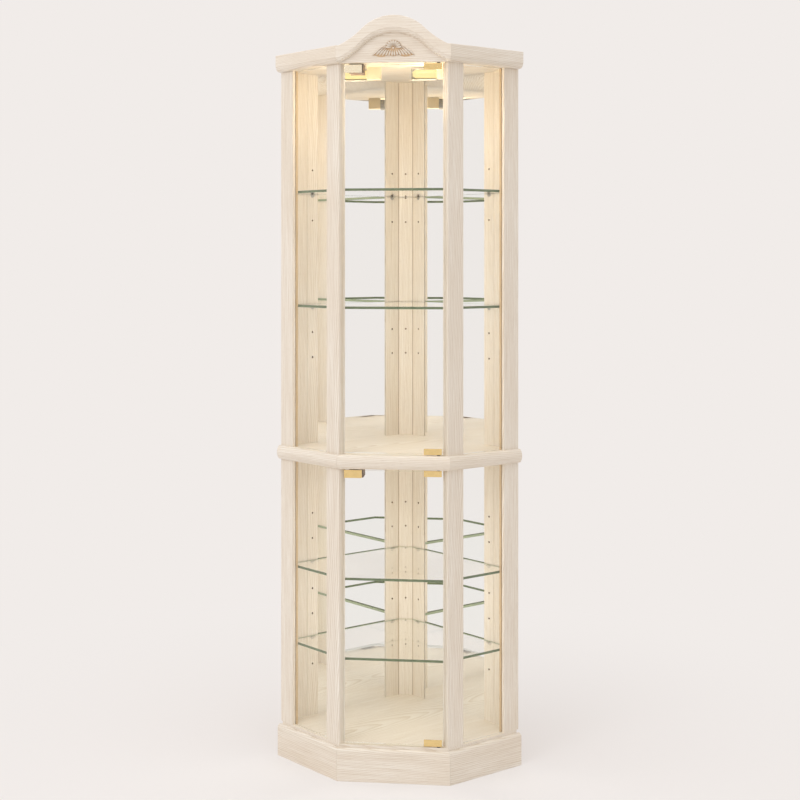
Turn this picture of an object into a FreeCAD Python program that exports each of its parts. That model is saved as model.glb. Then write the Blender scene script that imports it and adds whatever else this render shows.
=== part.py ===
import FreeCAD, Part
import math
import os

# Corner display cabinet: square rear corner for two walls, a flat front and two side faces at
# 45 degrees to it.  Two compartments, each with a frameless glass door, glass sides, mirrored
# backs and plate-glass shelves on pegs.
# Frame: millimetres, +Z up, the front faces -Y, the rear corner lies on X = 0 at +Y.
# The origin of the saved pieces is on the floor, under the middle of the plan's overall size.
# "setback" is a distance in from the outer faces of the plinth, "depth" a distance in from the
# wall planes, "along" a distance from the front corner along a side face.

ROOT2 = math.sqrt(2.0)
HALF_ANGLE = math.tan(math.radians(22.5))
SIDES = {"left": -1, "right": 1}

# ---- plan -------------------------------------------------------------------------------------
front_half = 133.0            # plinth, centre line to front corner
wall_side = 423.5             # plinth, rear corner of the room to the end of a side face

# ---- heights ----------------------------------------------------------------------------------
plinth_height = 77.0
floor_top = 84.0
waist_bottom = 734.0
waist_height = 33.0
upper_clear_height = 923.0    # divider top to the underside of the top panel
cornice_height = 41.0
crest_rise = 69.0             # crown of the arch above the cornice

# ---- boards -----------------------------------------------------------------------------------
panel_thickness = 18.0
plinth_thickness = 18.0
plinth_round = 8.0
post_setback = 11.0
post_width = 48.0
post_thickness = 18.0
waist_overhang = 13.5
waist_bulge = 6.5             # depth of the rounded nose of the band
mitre_reach = 60.0            # how far the mitre cutters reach past the plinth's faces

# ---- cornice, a plain fascia over a quarter round ---------------------------------------------
cornice_overhang = 17.5
cornice_root = 4.5            # overhang of the foot of the quarter round
cornice_round = 12.0
cornice_nose = 2.0            # eased top edge of the fascia

# ---- backs ------------------------------------------------------------------------------------
back_recess = 1.0
back_thickness = 5.0
back_floor_gap = 12.0
mirror_thickness = 4.0
stile_thickness = 6.5
stile_capture = 5.0           # how far the lip of a stile covers the mirror
corner_post_face = 37.0
corner_stile_width = 44.0
wall_stile_width = 89.0
wall_strip_width = 34.0       # part of a wall stile between the mirror and the groove
groove_width = 2.0
groove_depth = 1.2
mirror_clearance = 0.5
back_rebate_face = 10.0       # face of the rear post to its rebate for the back panel
back_clearance = 0.5

# ---- side glass -------------------------------------------------------------------------------
glass_reveal = 8.0
side_glass_thickness = 4.0
glass_capture = 7.0
glass_clearance = 1.0

# ---- doors ------------------------------------------------------------------------------------
door_thickness = 5.0
door_setback = 13.0
door_side_gap = 3.8           # edge of a door to the post, at the back of the glass
door_end_gap = 4.1
clip_length = 42.0
clip_height = 14.0
clip_wall = 1.8
clip_edge_inset = 4.5
pivot_inset = 12.0            # pivot axis to the edge of the door
pivot_radius = 2.0
pivot_clearance = 0.05
pivot_length = 8.0
bush_radius = 3.2
bush_length = 9.0
bush_floor = 1.0              # closed end of a bush
flange_radius = 4.3
flange_thickness = 2.0
strike_length = 42.0
strike_height = 19.0
strike_edge_inset = 0.5
strike_wall = 1.2

# ---- touch catches ----------------------------------------------------------------------------
catch_width = 34.0
catch_height = 22.0
catch_length = 46.0
catch_x_offset = 28.0         # strike plate's outer end to the middle of the catch
catch_gap = 4.0               # catch body to strike plate
plunger_radius = 5.0
plunger_clearance = 0.3
plunger_travel = 3.0
plunger_reach = 0.3           # magnet face to strike plate
plunger_depth = 16.0

# ---- shelves and pegs -------------------------------------------------------------------------
shelf_thickness = 6.0
shelf_gap = 2.0               # glass to posts and stiles
shelf_corner_round = 6.0
upper_shelves = (626.0, 346.0)    # middle of each plate above the divider
lower_shelves = (386.0, 197.0)    # middle of each plate above the floor panel
peg_pitch = 63.0
peg_rows_below = ((-1, 0, 1), (-2, -1, 0), (-1, 0, 1, 2), (-1, 0, 1))
peg_radius = 2.5
peg_depth = 5.5
peg_end_gap = 0.5             # plug to the bottom of its hole
spade_length = 8.0            # flat end of a peg that the glass rests on
spade_width = 7.6
spade_thickness = 2.2
front_peg_along = 30.0

# ---- lamps ------------------------------------------------------------------------------------
lamp_inner = 36.0             # centre line to the near end of each lamp
lamp_setback = 92.0
lamp_length = 96.0
lamp_drop = 18.0              # ceiling to the axis of the bulb
lamp_tilt = -30.0             # opening of the reflector, turned down from straight ahead
reflector_radius = 16.0
reflector_wall = 1.0
bulb_radius = 10.0
bulb_length = 58.0
bulb_taper = 7.0              # length of the cone at the free end
bulb_tip_radius = 5.0
holder_length = 34.0
holder_half = 12.5

# ---- crest ------------------------------------------------------------------------------------
arch_radius = 105.0
arch_angle = math.radians(45.0)
tympanum_thickness = 4.0
carving_height = 33.0         # head of the door opening to the middle of the fan
carving_relief = 6.0
carving_boss_radius = 5.0
carving_fan_radius = 21.0
petal_count = 7
petal_width = 8.5
petal_relief = 4.2
leaf_reach = 48.0             # middle of the fan to the tip of the longest leaf
leaf_relief = 3.6
leaf_root = 3.0               # how far out of the middle the leaves start
leaf_fullness = 0.58          # root to the widest place, as a share of the length
leaf_shapes = ((1.0, 8.0, 10.0), (0.8, 24.0, 9.0), (0.6, 44.0, 8.0))    # reach, droop, width

# ---- derived ----------------------------------------------------------------------------------
rear_half = wall_side / ROOT2
corner_depth = 2.0 * rear_half - front_half
side_depth = (corner_depth - front_half) / ROOT2
waist_top = waist_bottom + waist_height
ceiling = waist_top + upper_clear_height
cornice_top = ceiling + cornice_height
floor_bottom = floor_top - panel_thickness
post_inside = post_setback + post_thickness
glass_setback = post_setback + glass_reveal
back_rebate = post_setback + back_rebate_face
back_front = back_recess + back_thickness
mirror_face = back_front + mirror_thickness
stile_face = back_front + stile_thickness
stile_lip_back = mirror_face + mirror_clearance
front_post_start = post_setback * HALF_ANGLE
front_post_end = front_post_start + post_width
rear_post_start = side_depth - post_width
door_centre = door_setback + door_thickness / 2.0
door_back = door_setback + door_thickness
door_opening_half = front_half + post_setback - front_post_start - door_back
door_half = door_opening_half - door_side_gap
pivot_x = door_half - pivot_inset
corner_stile_start = corner_post_face / ROOT2 + stile_face
wall_stile_end = wall_side - post_inside
wall_stile_start = wall_stile_end - wall_stile_width
strike_back = door_back + strike_wall
catch_front = strike_back + catch_gap
catch_x = -door_half + strike_edge_inset + catch_x_offset
shelf_levels = [waist_top + rise for rise in upper_shelves]
shelf_levels += [floor_top + rise for rise in lower_shelves]
lamp_axis = ceiling - lamp_drop
plan_middle = (post_setback - cornice_overhang + corner_depth - back_recess * ROOT2) / 2.0
COMPARTMENTS = {"upper": (waist_top, ceiling), "lower": (floor_top, waist_bottom)}


# ---- plan points ------------------------------------------------------------------------------
def front_corner(side, setback):
    """Front corner of the plan, moved in by the same setback from both faces that meet there."""
    return (side * (front_half - setback * HALF_ANGLE), setback)


def on_side(side, along, setback):
    """Point on a line parallel to a side face."""
    return (side * (front_half + (along - setback) / ROOT2), (along + setback) / ROOT2)


def on_wall(side, out, depth):
    """Point on a line parallel to a wall, 'out' from the rear corner."""
    return (side * (out - depth) / ROOT2, corner_depth - (out + depth) / ROOT2)


def outline(setback, depth):
    """The five-sided plan of a board that spans the cabinet."""
    return [
        front_corner(-1, setback), front_corner(1, setback),
        on_side(1, side_depth - depth, setback), on_wall(1, depth, depth),
        on_side(-1, side_depth - depth, setback),
    ]


# ---- solids -----------------------------------------------------------------------------------
def polygon(points, z):
    corners = [FreeCAD.Vector(x, y, z) for x, y in points]
    return Part.Face(Part.makePolygon(corners + corners[:1]))


def prism(points, bottom, top):
    return polygon(points, bottom).extrude(FreeCAD.Vector(0, 0, top - bottom))


def rod(start, axis, radius, length):
    return Part.makeCylinder(radius, length, FreeCAD.Vector(*start), FreeCAD.Vector(*axis))


def facet_bar(x, y, z, dx, dy, radius, length):
    """Eight-sided bar that runs level from a point in the direction (dx, dy)."""
    corners = []
    for index in range(8):
        turn = math.radians(22.5 + 45.0 * index)
        across, rise = radius * math.cos(turn), radius * math.sin(turn)
        corners.append(FreeCAD.Vector(x - dy * across, y + dx * across, z + rise))
    face = Part.Face(Part.makePolygon(corners + corners[:1]))
    return face.extrude(FreeCAD.Vector(dx * length, dy * length, 0))


def box(x0, x1, y0, y1, z0, z1):
    return Part.makeBox(x1 - x0, y1 - y0, z1 - z0, FreeCAD.Vector(x0, y0, z0))


def fuse(shapes):
    return shapes[0].fuse(shapes[1:]).removeSplitter()


def save(name, shape):
    solids = shape.Solids
    shape = solids[0] if len(solids) == 1 else Part.makeCompound(solids)
    shape.translate(FreeCAD.Vector(0, -plan_middle, 0))
    shape.exportStep("parts/" + name + ".step")


def sector(side):
    """Everything that belongs to one face of the cabinet, cut off on the mitre planes."""
    near, far = -mitre_reach, mitre_reach
    if side == 0:
        points = [
            front_corner(-1, near), front_corner(1, near),
            front_corner(1, far), front_corner(-1, far),
        ]
    else:
        points = [
            front_corner(side, near), front_corner(side, far),
            on_side(side, side_depth, far), on_side(side, side_depth, near),
        ]
    return prism(points, -mitre_reach, cornice_top + crest_rise + mitre_reach)


def moulding(side, profile, base):
    """Run a profile of (outward from the posts, height) lines and arcs along a face, mitred."""
    if side == 0:
        start, end = (-front_half - mitre_reach, 0.0), (front_half + mitre_reach, 0.0)
        outward = (0.0, -1.0)
    else:
        start = on_side(side, -mitre_reach, 0.0)
        end = on_side(side, side_depth + mitre_reach, 0.0)
        outward = (side / ROOT2, -1.0 / ROOT2)

    def place(point):
        out = point[0] - post_setback
        return FreeCAD.Vector(start[0] + outward[0] * out, start[1] + outward[1] * out,
                              base + point[1])

    run = FreeCAD.Vector(end[0] - start[0], end[1] - start[1], 0)
    solid = Part.Face(profile_wire(profile, place)).extrude(run)
    return solid.common(sector(side))


def profile_wire(profile, place):
    """Close a list of points into a wire; a middle point marked "arc" bends the edge it is on."""
    edges = []
    points = [item for item in profile if item[-1] != "arc"]
    for index, start in enumerate(points):
        end = points[(index + 1) % len(points)]
        after = profile[(profile.index(start) + 1) % len(profile)]
        if after[-1] == "arc":
            edges.append(Part.Arc(place(start), place(after), place(end)).toShape())
        else:
            edges.append(Part.makeLine(place(start), place(end)))
    return Part.Wire(edges)


def profile_corners(profile):
    """The profile as straight stretches, each arc as four chords."""
    corners = []
    for edge in profile_wire(profile, lambda point: FreeCAD.Vector(point[0], point[1], 0)).Edges:
        stretches = 4 if isinstance(edge.Curve, Part.Circle) else 1
        points = edge.discretize(stretches + 1)
        corners += [(point.x, point.y) for point in points[:-1]]
    return corners


def quarter(centre, radius, degrees):
    """Middle point of a quarter round."""
    turn = math.radians(degrees)
    return (centre[0] + radius * math.cos(turn), centre[1] + radius * math.sin(turn), "arc")


# ---- plinth -----------------------------------------------------------------------------------
def plinth_board(side):
    outer = post_setback
    inner = post_setback - plinth_thickness
    shoulder = plinth_height - plinth_round
    profile = [
        (inner, 0.0), (outer, 0.0), (outer, shoulder),
        quarter((outer - plinth_round, shoulder), plinth_round, 45.0),
        (outer - plinth_round, plinth_height), (0.0, plinth_height),
        (0.0, floor_bottom), (inner, floor_bottom),
    ]
    return moulding(side, profile, 0.0)


def plinth_back(side):
    near, far = back_front, back_front + plinth_thickness
    end = wall_side - plinth_thickness
    points = [on_wall(side, near, near), on_wall(side, end, near),
              on_wall(side, end, far), on_wall(side, far, far)]
    return prism(points, 0.0, floor_bottom)


# ---- posts ------------------------------------------------------------------------------------
def front_post(side):
    """Square-edged post that starts at the front corner, rebated for the side glass."""
    points = [
        on_side(side, front_post_start, post_setback),
        on_side(side, front_post_end, post_setback),
        on_side(side, front_post_end, glass_setback),
        on_side(side, front_post_end - glass_capture, glass_setback),
        on_side(side, front_post_end - glass_capture, post_inside),
        on_side(side, front_post_start, post_inside),
    ]
    return prism(points, floor_top, ceiling)


def rear_post(side):
    """Post at the wall, with a rebate for the side glass and one for the back panel."""
    back_line = side_depth - back_front
    points = [
        on_side(side, rear_post_start, post_setback), on_side(side, side_depth, post_setback),
        on_side(side, side_depth, back_rebate), on_side(side, back_line, back_rebate),
        on_side(side, back_line, post_inside),
        on_side(side, rear_post_start + glass_capture, post_inside),
        on_side(side, rear_post_start + glass_capture, glass_setback),
        on_side(side, rear_post_start, glass_setback),
    ]
    return prism(points, floor_top, ceiling)


def peg_rows():
    """Each row of peg holes by the node it is drilled in: where it is and which way in."""
    rows = {}
    rear_along = (rear_post_start + glass_capture + side_depth - stile_face) / 2.0
    corner_out = corner_stile_start + corner_stile_width / 2.0
    wall_out = wall_stile_start + wall_strip_width / 2.0
    for name, side in SIDES.items():
        into_post = (side / ROOT2, -1.0 / ROOT2)
        into_wall = (side / ROOT2, 1.0 / ROOT2)
        rows["front_post_" + name] = (on_side(side, front_peg_along, post_inside), into_post)
        rows["rear_post_" + name] = (on_side(side, rear_along, post_inside), into_post)
        rows["wall_stile_" + name] = (on_wall(side, wall_out, stile_face), into_wall)
        rows["corner_stile_" + name] = (on_wall(side, corner_out, stile_face), into_wall)
    rows["corner_post"] = ((0.0, on_wall(1, corner_stile_start, stile_face)[1]), (0.0, 1.0))
    return rows


def peg_height(level):
    """Axis of the pegs under a shelf: the plug's top is level with the underside of the glass."""
    return level - shelf_thickness / 2.0 - peg_radius


def drilled(name, shape):
    """Drill a node's row of peg holes."""
    (x, y), (dx, dy) = peg_rows()[name]
    holes = []
    for level, steps in zip(shelf_levels, peg_rows_below):
        for step in steps:
            height = peg_height(level) + step * peg_pitch
            holes.append(facet_bar(x, y, height, dx, dy, peg_radius, peg_depth))
    return shape.cut(Part.makeCompound(holes))


# ---- backs ------------------------------------------------------------------------------------
def corner_post():
    points = [
        on_wall(-1, corner_stile_start, stile_face), on_wall(1, corner_stile_start, stile_face),
        on_wall(1, corner_stile_start, back_front), on_wall(1, back_front, back_front),
        on_wall(-1, corner_stile_start, back_front),
    ]
    return prism(points, floor_top, ceiling)


def stile(side, solid_end, mirror_end):
    """A strip on the back panel whose lip covers the edge of the mirror."""
    toward = 1.0 if mirror_end > solid_end else -1.0
    covered = mirror_end - toward * stile_capture
    points = [
        on_wall(side, solid_end, back_front), on_wall(side, covered, back_front),
        on_wall(side, covered, stile_lip_back), on_wall(side, mirror_end, stile_lip_back),
        on_wall(side, mirror_end, stile_face), on_wall(side, solid_end, stile_face),
    ]
    return prism(points, floor_top, ceiling)


def corner_stile(side):
    return stile(side, corner_stile_start, corner_stile_start + corner_stile_width)


def wall_stile(side):
    return stile(side, wall_stile_end, wall_stile_start)


def wall_groove(side):
    """Cutter of the fine groove that runs up a wall stile."""
    middle, half = wall_stile_start + wall_strip_width, groove_width / 2.0
    points = [on_wall(side, middle - half, stile_face), on_wall(side, middle + half, stile_face),
              on_wall(side, middle, stile_face - groove_depth)]
    return prism(points, floor_top, ceiling)


def mirror(side, bottom, top):
    start = corner_stile_start + corner_stile_width - stile_capture + mirror_clearance
    end = wall_stile_start + stile_capture - mirror_clearance
    points = [on_wall(side, start, back_front), on_wall(side, end, back_front),
              on_wall(side, end, mirror_face), on_wall(side, start, mirror_face)]
    return prism(points, bottom, top - mirror_clearance)


def back_panel(side):
    """Thin board behind everything, mitred at the rear corner and let into the rear post."""
    end = wall_side - back_rebate - back_clearance
    points = [on_wall(side, back_recess, back_recess), on_wall(side, end, back_recess),
              on_wall(side, end, back_front), on_wall(side, back_front, back_front)]
    return prism(points, back_floor_gap, ceiling + panel_thickness)


# ---- horizontal boards ------------------------------------------------------------------------
def bush_hole(end, direction):
    """Hole for a flanged bush, sunk from the surface that a door swings against."""
    start = (pivot_x, door_centre, end)
    return rod(start, (0, 0, direction), bush_radius, bush_length)


def floor_panel():
    board = prism(outline(post_setback, back_front), floor_bottom, floor_top)
    return board.cut(bush_hole(floor_top, -1))


def divider_panel():
    board = prism(outline(post_setback, back_front), waist_bottom, waist_top)
    standing = [corner_post()]
    for side in SIDES.values():
        standing += [front_post(side), rear_post(side), corner_stile(side), wall_stile(side)]
    board = board.cut(standing)
    return board.cut([bush_hole(waist_bottom, 1), bush_hole(waist_top, -1)])


def top_panel():
    board = prism(outline(post_setback, back_front), ceiling, ceiling + panel_thickness)
    return board.cut(bush_hole(ceiling, 1))


# ---- waist band and cornice -------------------------------------------------------------------
def waist_band(side):
    square = waist_overhang - waist_bulge
    profile = [(0.0, 0.0), (square, 0.0), (waist_overhang, waist_height / 2.0, "arc"),
               (square, waist_height), (0.0, waist_height)]
    return moulding(side, profile, waist_bottom)


def cornice_profile(inner):
    """Quarter round and the plain fascia above it, from the underside up."""
    shoulder = cornice_height - cornice_nose
    return [
        (inner, 0.0), (cornice_root, 0.0),
        quarter((cornice_root, cornice_round), cornice_round, -45.0),
        (cornice_root + cornice_round, cornice_round), (cornice_overhang, cornice_round),
        (cornice_overhang, shoulder),
        quarter((cornice_overhang - cornice_nose, shoulder), cornice_nose, 45.0),
        (cornice_overhang - cornice_nose, cornice_height), (inner, cornice_height),
    ]


def cornice(side):
    return moulding(side, cornice_profile(0.0), ceiling)


# ---- arched front -----------------------------------------------------------------------------
def arch_edges(y, drop):
    """Line of the arched crest, left to right: level, hollow, crown, hollow, level."""
    top = cornice_top + crest_rise - drop
    level = cornice_top - drop
    end_x = front_corner(1, post_setback)[0]
    far_x = front_half + cornice_overhang
    turn_x = arch_radius * math.sin(arch_angle)
    turn_z = top - arch_radius * (1.0 - math.cos(arch_angle))
    across, fall = end_x - turn_x, turn_z - level
    normal = (math.sin(arch_angle), math.cos(arch_angle))
    hollow_radius = (across ** 2 + fall ** 2) / (2.0 * (across * normal[0] - fall * normal[1]))
    centre = (turn_x + hollow_radius * normal[0], turn_z + hollow_radius * normal[1])
    middle_x = turn_x + across / 2.0
    middle_z = centre[1] - math.sqrt(hollow_radius ** 2 - (centre[0] - middle_x) ** 2)

    def at(x, z):
        return FreeCAD.Vector(x, y, z)

    return [
        Part.makeLine(at(-far_x, level), at(-end_x, level)),
        Part.Arc(at(-end_x, level), at(-middle_x, middle_z), at(-turn_x, turn_z)).toShape(),
        Part.Arc(at(-turn_x, turn_z), at(0.0, top), at(turn_x, turn_z)).toShape(),
        Part.Arc(at(turn_x, turn_z), at(middle_x, middle_z), at(end_x, level)).toShape(),
        Part.makeLine(at(end_x, level), at(far_x, level)),
    ]


def crest_cornice():
    """The cornice profile carried up over the arch without turning, cut on both mitres.

    Each straight stretch of the profile is a rail of the arch extruded to the next rail.
    """
    rails = arch_edges(0.0, cornice_height)
    corners = profile_corners(cornice_profile(tympanum_thickness))
    faces = []
    for (out, height), (next_out, next_height) in zip(corners, corners[1:] + corners[:1]):
        for rail in rails:
            edge = rail.translated(FreeCAD.Vector(0, post_setback - out, height))
            faces.append(edge.extrude(FreeCAD.Vector(0, out - next_out, next_height - height)))
    for end in (rails[0].Vertexes[0].Point, rails[-1].Vertexes[-1].Point):
        ring = [FreeCAD.Vector(end.x, post_setback - out, end.z + height)
                for out, height in corners]
        faces.append(Part.Face(Part.makePolygon(ring + ring[:1])))
    shell = Part.Shell(faces)
    shell.sewShape()
    return Part.Solid(shell).common(sector(0))


def tympanum():
    """Board behind the arched moulding, down to the top of the door opening."""
    back = post_setback
    top_line = arch_edges(back, 0.0)
    first = top_line[0].valueAt(top_line[0].FirstParameter)
    last = top_line[-1].valueAt(top_line[-1].LastParameter)
    low_first = FreeCAD.Vector(first.x, back, ceiling)
    low_last = FreeCAD.Vector(last.x, back, ceiling)
    outline_edges = top_line + [Part.makeLine(last, low_last), Part.makeLine(low_last, low_first),
                                Part.makeLine(low_first, first)]
    face = Part.Face(Part.Wire(Part.__sortEdges__(outline_edges)))
    return face.extrude(FreeCAD.Vector(0, -tympanum_thickness, 0)).common(sector(0))


def leaf(root, degrees, length, width, relief):
    """Pointed leaf that lies on the tympanum."""
    turn = math.radians(degrees)
    along = (math.cos(turn), math.sin(turn))
    across = (-along[1], along[0])
    surface = post_setback - tympanum_thickness

    def at(distance, offset):
        return FreeCAD.Vector(root[0] + along[0] * distance + across[0] * offset, surface,
                              root[1] + along[1] * distance + across[1] * offset)

    start, tip = at(0.0, 0.0), at(length, 0.0)
    wide = leaf_fullness * length
    upper = Part.Arc(start, at(wide, width / 2.0), tip).toShape()
    lower = Part.Arc(tip, at(wide, -width / 2.0), start).toShape()
    return Part.Face(Part.Wire([upper, lower])).extrude(FreeCAD.Vector(0, -relief, 0))


def crest_carving():
    """Fan of petals over a boss, with a spray of leaves to each side."""
    middle = ceiling + carving_height
    surface = post_setback - tympanum_thickness
    shapes = [rod((0.0, surface, middle), (0, -1, 0), carving_boss_radius, carving_relief)]
    for index in range(petal_count):
        degrees = 180.0 * index / (petal_count - 1)
        shapes.append(leaf((0.0, middle), degrees, carving_fan_radius, petal_width, petal_relief))
    for side in SIDES.values():
        for share, droop, width in leaf_shapes:
            degrees = -droop if side > 0 else 180.0 + droop
            shapes.append(leaf((side * leaf_root, middle), degrees, share * leaf_reach, width,
                               leaf_relief))
    return fuse(shapes)


# ---- side glass -------------------------------------------------------------------------------
def side_glass(side, bottom, top):
    start = front_post_end - glass_capture + glass_clearance
    end = rear_post_start + glass_capture - glass_clearance
    inner = glass_setback + side_glass_thickness
    points = [on_side(side, start, glass_setback), on_side(side, end, glass_setback),
              on_side(side, end, inner), on_side(side, start, inner)]
    return prism(points, bottom, top - glass_clearance)


def side_glass_beads():
    """Strips in the rebates that hold every side pane against its posts."""
    inner = glass_setback + side_glass_thickness
    beads = []
    for side in SIDES.values():
        for start in (front_post_end - glass_capture, rear_post_start):
            end = start + glass_capture
            points = [on_side(side, start, inner), on_side(side, end, inner),
                      on_side(side, end, post_inside), on_side(side, start, post_inside)]
            beads += [prism(points, bottom, top) for bottom, top in COMPARTMENTS.values()]
    return Part.makeCompound(beads)


# ---- doors ------------------------------------------------------------------------------------
def door_glass(bottom, top):
    return box(-door_half, door_half, door_setback, door_setback + door_thickness,
               bottom + door_end_gap, top - door_end_gap)


def channel(x0, x1, edge, direction, wall, height):
    """U-shaped metal channel pushed over a horizontal edge of the door glass."""
    outer_end = edge + direction * wall
    inner_end = outer_end - direction * height
    low, high = sorted((outer_end, inner_end))
    shell = box(x0, x1, door_setback - wall, door_setback + door_thickness + wall, low, high)
    low, high = sorted((edge, inner_end))
    return shell.cut(box(x0, x1, door_setback, door_setback + door_thickness, low, high))


def hinge_clips(bottom, top):
    """The two clips of a door, each with its pivot pin."""
    x1 = door_half - clip_edge_inset
    clips = []
    for edge, direction in ((top - door_end_gap, 1), (bottom + door_end_gap, -1)):
        clip = channel(x1 - clip_length, x1, edge, direction, clip_wall, clip_height)
        start = (pivot_x, door_centre, edge + direction * clip_wall)
        clips.append(clip.fuse(rod(start, (0, 0, direction), pivot_radius, pivot_length)))
    return Part.makeCompound(clips)


def hinge_bush(surface, direction):
    """Flanged bush let into the board that a pivot pin turns in."""
    mouth = surface - direction * flange_thickness
    flange = rod((pivot_x, door_centre, mouth), (0, 0, direction), flange_radius,
                 flange_thickness)
    sleeve = rod((pivot_x, door_centre, surface), (0, 0, direction), bush_radius, bush_length)
    bore = rod((pivot_x, door_centre, mouth), (0, 0, direction),
               pivot_radius + pivot_clearance, flange_thickness + bush_length - bush_floor)
    return flange.fuse(sleeve).cut(bore)


def hinge_bushes():
    bushes = []
    for bottom, top in COMPARTMENTS.values():
        bushes += [hinge_bush(top, 1), hinge_bush(bottom, -1)]
    return Part.makeCompound(bushes)


def strike_plate(top):
    x0 = -door_half + strike_edge_inset
    return channel(x0, x0 + strike_length, top - door_end_gap, 1, strike_wall, strike_height)


# ---- touch catches ----------------------------------------------------------------------------
def catch_body(top):
    x0 = catch_x - catch_width / 2.0
    body = box(x0, x0 + catch_width, catch_front, catch_front + catch_length,
               top - catch_height, top)
    bore_depth = plunger_depth + plunger_travel + plunger_clearance
    return body.cut(rod((catch_x, catch_front, top - catch_height / 2.0), (0, 1, 0),
                        plunger_radius + plunger_clearance, bore_depth))


def catch_plunger(top):
    start = strike_back + plunger_reach
    length = catch_front - start + plunger_depth
    return rod((catch_x, start, top - catch_height / 2.0), (0, 1, 0), plunger_radius, length)


# ---- shelves ----------------------------------------------------------------------------------
def shelf(level):
    """Plate glass that follows the carcass, with its rear corner cut off for the corner post."""
    points = outline(post_inside + shelf_gap, stile_face + shelf_gap)
    plate = prism(points, level - shelf_thickness / 2.0, level + shelf_thickness / 2.0)
    cut_line = peg_rows()["corner_post"][0][1] - shelf_gap
    plate = plate.cut(box(-front_half, front_half, cut_line, corner_depth,
                          level - shelf_thickness, level + shelf_thickness))
    upright = [edge for edge in plate.Edges if abs(edge.tangentAt(edge.FirstParameter).z) > 0.9]
    return plate.makeFillet(shelf_corner_round, upright)


def shelf_peg(x, y, dx, dy, level):
    """Plug in a hole and a flat spade under the glass."""
    glass_bottom = level - shelf_thickness / 2.0
    half, end_x, end_y = spade_width / 2.0, x - dx * spade_length, y - dy * spade_length
    points = [(x - dy * half, y + dx * half), (x + dy * half, y - dx * half),
              (end_x + dy * half, end_y - dx * half), (end_x - dy * half, end_y + dx * half)]
    spade = prism(points, glass_bottom - spade_thickness, glass_bottom)
    plug_length = peg_depth - peg_end_gap
    return spade.fuse(facet_bar(x, y, peg_height(level), dx, dy, peg_radius, plug_length))


def shelf_pegs():
    """Every shelf rests on eight pegs; the row in the corner post is spare."""
    pegs = []
    for name, ((x, y), (dx, dy)) in peg_rows().items():
        if name != "corner_post":
            pegs += [shelf_peg(x, y, dx, dy, level) for level in shelf_levels]
    return Part.makeCompound(pegs)


# ---- lamps ------------------------------------------------------------------------------------
def lamp_left_end(side):
    return min(side * lamp_inner, side * (lamp_inner + lamp_length))


def lamp_socket(side):
    """Face of the holder that the bulb plugs into; both lamps have it on the right."""
    return lamp_left_end(side) + lamp_length - holder_length


def lamp_holder(side):
    """Block under the top panel that carries the bulb and the end of the reflector."""
    socket = lamp_socket(side)
    return box(socket, socket + holder_length, lamp_setback - holder_half,
               lamp_setback + holder_half, lamp_axis - holder_half, ceiling)


def lamp_reflector(side):
    """Half tube behind the bulb, open to the front and below."""
    left = lamp_left_end(side)
    length = lamp_length - holder_length
    start = (left, lamp_setback, lamp_axis)
    shell = rod(start, (1, 0, 0), reflector_radius, length)
    shell = shell.cut(rod(start, (1, 0, 0), reflector_radius - reflector_wall, length))
    reach = 2.0 * reflector_radius
    opening = box(left, left + length, lamp_setback - reach, lamp_setback,
                  lamp_axis - reach, lamp_axis + reach)
    opening.rotate(FreeCAD.Vector(*start), FreeCAD.Vector(1, 0, 0), lamp_tilt)
    return shell.cut(opening)


def lamp_bulb(side):
    """Tubular bulb, its free end drawn in by a cone to a flat tip."""
    start = FreeCAD.Vector(lamp_socket(side), lamp_setback, lamp_axis)
    inward = FreeCAD.Vector(-1, 0, 0)
    straight = bulb_length - bulb_taper
    tube = Part.makeCylinder(bulb_radius, straight, start, inward)
    return tube.fuse(Part.makeCone(bulb_radius, bulb_tip_radius, bulb_taper,
                                   start + inward * straight, inward))


# ---- write every piece ------------------------------------------------------------------------
def pieces():
    yield "plinth_front", plinth_board(0)
    yield "waist_front", waist_band(0)
    yield "floor_panel", floor_panel()
    yield "divider_panel", divider_panel()
    yield "top_panel", top_panel()
    yield "crest_cornice", crest_cornice()
    yield "tympanum", tympanum()
    yield "crest_carving", crest_carving()
    yield "corner_post", drilled("corner_post", corner_post())
    for name, side in SIDES.items():
        yield "plinth_" + name, plinth_board(side)
        yield "plinth_back_" + name, plinth_back(side)
        yield "waist_" + name, waist_band(side)
        yield "cornice_" + name, cornice(side)
        yield "front_post_" + name, drilled("front_post_" + name, front_post(side))
        yield "rear_post_" + name, drilled("rear_post_" + name, rear_post(side))
        yield "corner_stile_" + name, drilled("corner_stile_" + name, corner_stile(side))
        grooved = wall_stile(side).cut(wall_groove(side))
        yield "wall_stile_" + name, drilled("wall_stile_" + name, grooved)
        yield "back_panel_" + name, back_panel(side)
        yield "lamp_holder_" + name, lamp_holder(side)
        yield "lamp_reflector_" + name, lamp_reflector(side)
        yield "lamp_bulb_" + name, lamp_bulb(side)
        for storey, (bottom, top) in COMPARTMENTS.items():
            yield "mirror_" + storey + "_" + name, mirror(side, bottom, top)
            yield "side_glass_" + storey + "_" + name, side_glass(side, bottom, top)
    for storey, (bottom, top) in COMPARTMENTS.items():
        yield "door_glass_" + storey, door_glass(bottom, top)
        yield "hinge_clips_" + storey, hinge_clips(bottom, top)
        yield "strike_plate_" + storey, strike_plate(top)
        yield "catch_body_" + storey, catch_body(top)
        yield "catch_plunger_" + storey, catch_plunger(top)
    for number, level in enumerate(shelf_levels, start=1):
        yield "shelf_" + str(number), shelf(level)
    yield "shelf_pegs", shelf_pegs()
    yield "hinge_bushes", hinge_bushes()
    yield "side_glass_beads", side_glass_beads()


os.makedirs("parts", exist_ok=True)
for node, solid in pieces():
    save(node, solid)
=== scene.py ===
import math
import bmesh
import bpy
from mathutils import Matrix, Vector


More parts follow.
